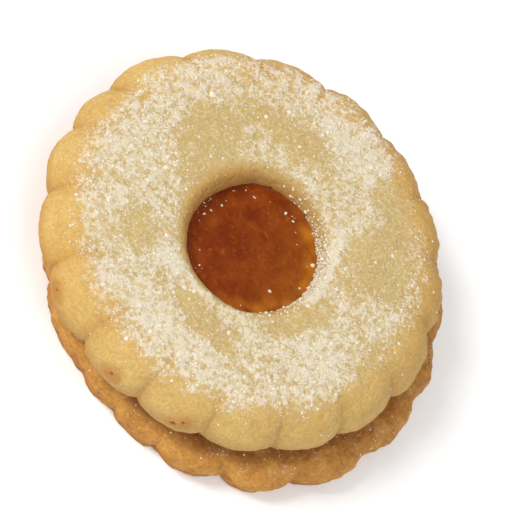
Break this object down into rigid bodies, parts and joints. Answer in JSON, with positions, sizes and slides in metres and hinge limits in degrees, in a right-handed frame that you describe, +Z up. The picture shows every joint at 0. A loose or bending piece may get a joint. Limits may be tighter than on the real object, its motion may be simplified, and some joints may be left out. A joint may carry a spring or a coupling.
{
  "type": "linzer cookie",
  "caption": "Round sandwich biscuit with scalloped edges, jam between its layers and in a round window, dusted with icing sugar.",
  "frame": {"origin": "under the middle of the cookie's bounding box, on the surface it lies on", "axes": "+Z up through the layers, from the underside to the sugared face; -Y is the side looked at; +X to its right"},
  "size_m": [0.0638, 0.064, 0.015],
  "materials": {
    "dark_crust": "baked shortbread, browned on the underside, rough and porous",
    "jam": "set apricot jam, glossy and translucent",
    "pale_crust": "lightly baked golden shortbread, fine crumb",
    "icing_sugar": "sifted icing sugar, dry white powder in small clumps"
  },
  "bodies": {
    "root": {"bottom_biscuit": "dark_crust", "jam_filling": "jam", "top_biscuit": "pale_crust"}
  },
  "joints": []
}
